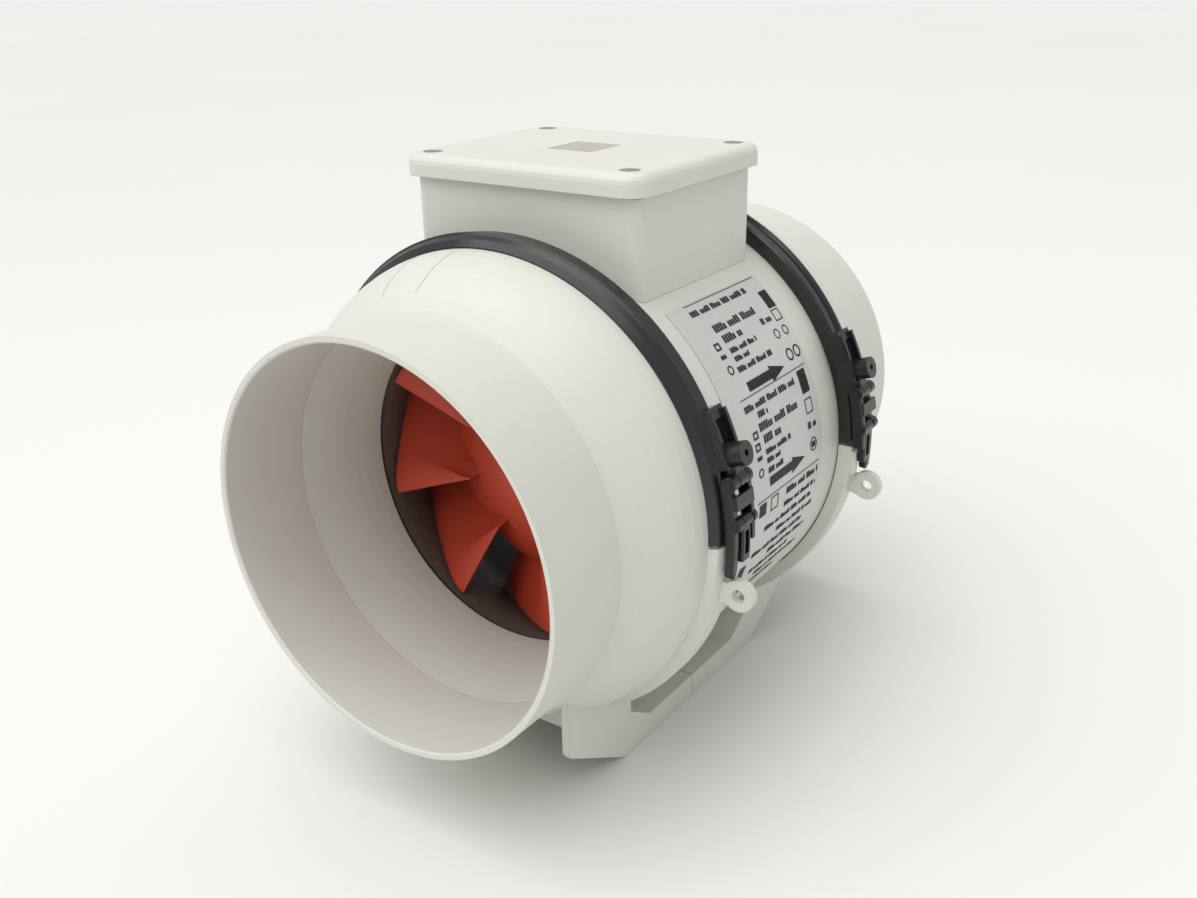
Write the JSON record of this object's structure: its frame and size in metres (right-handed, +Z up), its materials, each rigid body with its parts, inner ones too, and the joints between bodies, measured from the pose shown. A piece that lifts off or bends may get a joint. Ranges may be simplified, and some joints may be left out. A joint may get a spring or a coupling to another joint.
{
  "type": "inline duct fan",
  "caption": "In-line mixed-flow duct fan: round spigot housings with a foot, a drop-in fan module with a terminal box, and hinged clamp bands.",
  "frame": {"origin": "centre of the inlet mouth, on the fan axis", "axes": "+Y along the fan axis from inlet to outlet (the way the air goes), +Z up towards the terminal box, +X to the latch side"},
  "size_m": [0.2176, 0.264, 0.2346],
  "materials": {
    "casing_plastic": "fine satin moulded",
    "inner_plastic": "satin moulded",
    "seal_rubber": "matt",
    "shroud_plastic": "satin moulded",
    "impeller_plastic": "satin moulded",
    "zinc_steel": "zinc plated",
    "shaft_steel": "ground",
    "core_steel": "laminated",
    "motor_aluminium": "cast",
    "winding_copper": "lacquered wire",
    "cap_plastic": "satin",
    "badge_plastic": "satin",
    "block_plastic": "satin",
    "capacitor_plastic": "gloss",
    "clip_plastic": "satin",
    "lead_insulation": "gloss",
    "label_film": "printed film",
    "band_plastic": "gloss moulded"
  },
  "bodies": {
    "casing": {"inlet_housing": "casing_plastic", "outlet_housing": "casing_plastic", "inlet_cone": "inner_plastic", "outlet_cone": "inner_plastic", "inlet_seal": "seal_rubber", "outlet_seal": "seal_rubber", "module_casing": "casing_plastic", "impeller_shroud": "shroud_plastic", "front_bearing": "shaft_steel", "rear_bearing": "shaft_steel", "motor_front_shell": "motor_aluminium", "motor_rear_shell": "motor_aluminium", "stator_core": "core_steel", "stator_windings": "winding_copper", "motor_screws": "zinc_steel", "stator_sleeve": "shroud_plastic", "guide_vanes": "shroud_plastic", "vane_ring": "shroud_plastic", "tail_fairing": "shroud_plastic", "terminal_box": "casing_plastic", "box_lid": "casing_plastic", "lid_gasket": "seal_rubber", "lid_screws": "zinc_steel", "screw_caps": "cap_plastic", "lid_badge": "badge_plastic", "terminal_block": "block_plastic", "terminal_screws": "zinc_steel", "run_capacitor": "capacitor_plastic", "capacitor_clip": "clip_plastic", "motor_leads": "lead_insulation", "cable_gland": "cap_plastic", "gland_nut": "cap_plastic", "gland_seal": "seal_rubber", "cord_clamp": "block_plastic", "clamp_screws": "zinc_steel", "rating_label": "label_film", "inlet_hinge_pin": "zinc_steel", "outlet_hinge_pin": "zinc_steel"},
    "rotor": {"impeller_hub": "impeller_plastic", "impeller_blades": "impeller_plastic", "impeller_nut": "zinc_steel", "motor_shaft": "shaft_steel", "motor_rotor": "core_steel"},
    "inlet_clamp": {"inlet_band": "band_plastic", "inlet_lever_pin": "band_plastic"},
    "inlet_latch": {"inlet_lever": "band_plastic", "inlet_loop_pin": "band_plastic"},
    "inlet_hook": {"inlet_loop": "band_plastic"},
    "outlet_clamp": {"outlet_band": "band_plastic", "outlet_lever_pin": "band_plastic"},
    "outlet_latch": {"outlet_lever": "band_plastic", "outlet_loop_pin": "band_plastic"},
    "outlet_hook": {"outlet_loop": "band_plastic"}
  },
  "joints": [
    {"name": "impeller_spin", "type": "hinge", "parent": "casing", "child": "rotor", "pos_m": [0, 0.12, 0], "axis": [0, 1, 0], "continuous": true},
    {"name": "inlet_band_swing", "type": "hinge", "parent": "casing", "child": "inlet_clamp", "pos_m": [-0.1036, 0.0755, 0], "axis": [0, -1, 0], "range_deg": [0, 75]},
    {"name": "inlet_lever_swing", "type": "hinge", "parent": "inlet_clamp", "child": "inlet_latch", "pos_m": [0.09986, 0.0755, 0.02397], "axis": [0, -1, 0], "range_deg": [0, 90]},
    {"name": "inlet_loop_swing", "type": "hinge", "parent": "inlet_latch", "child": "inlet_hook", "pos_m": [0.10251, 0.0755, 0.00897], "axis": [0, -1, 0], "range_deg": [-54, 0]},
    {"name": "outlet_band_swing", "type": "hinge", "parent": "casing", "child": "outlet_clamp", "pos_m": [-0.1036, 0.1885, 0], "axis": [0, -1, 0], "range_deg": [0, 75]},
    {"name": "outlet_lever_swing", "type": "hinge", "parent": "outlet_clamp", "child": "outlet_latch", "pos_m": [0.09986, 0.1885, 0.02397], "axis": [0, -1, 0], "range_deg": [0, 90]},
    {"name": "outlet_loop_swing", "type": "hinge", "parent": "outlet_latch", "child": "outlet_hook", "pos_m": [0.10251, 0.1885, 0.00897], "axis": [0, -1, 0], "range_deg": [-54, 0]}
  ],
  "couplings": [
    {"joint": "inlet_loop_swing", "follows": "inlet_lever_swing", "ratio": -0.6},
    {"joint": "outlet_loop_swing", "follows": "outlet_lever_swing", "ratio": -0.6}
  ]
}
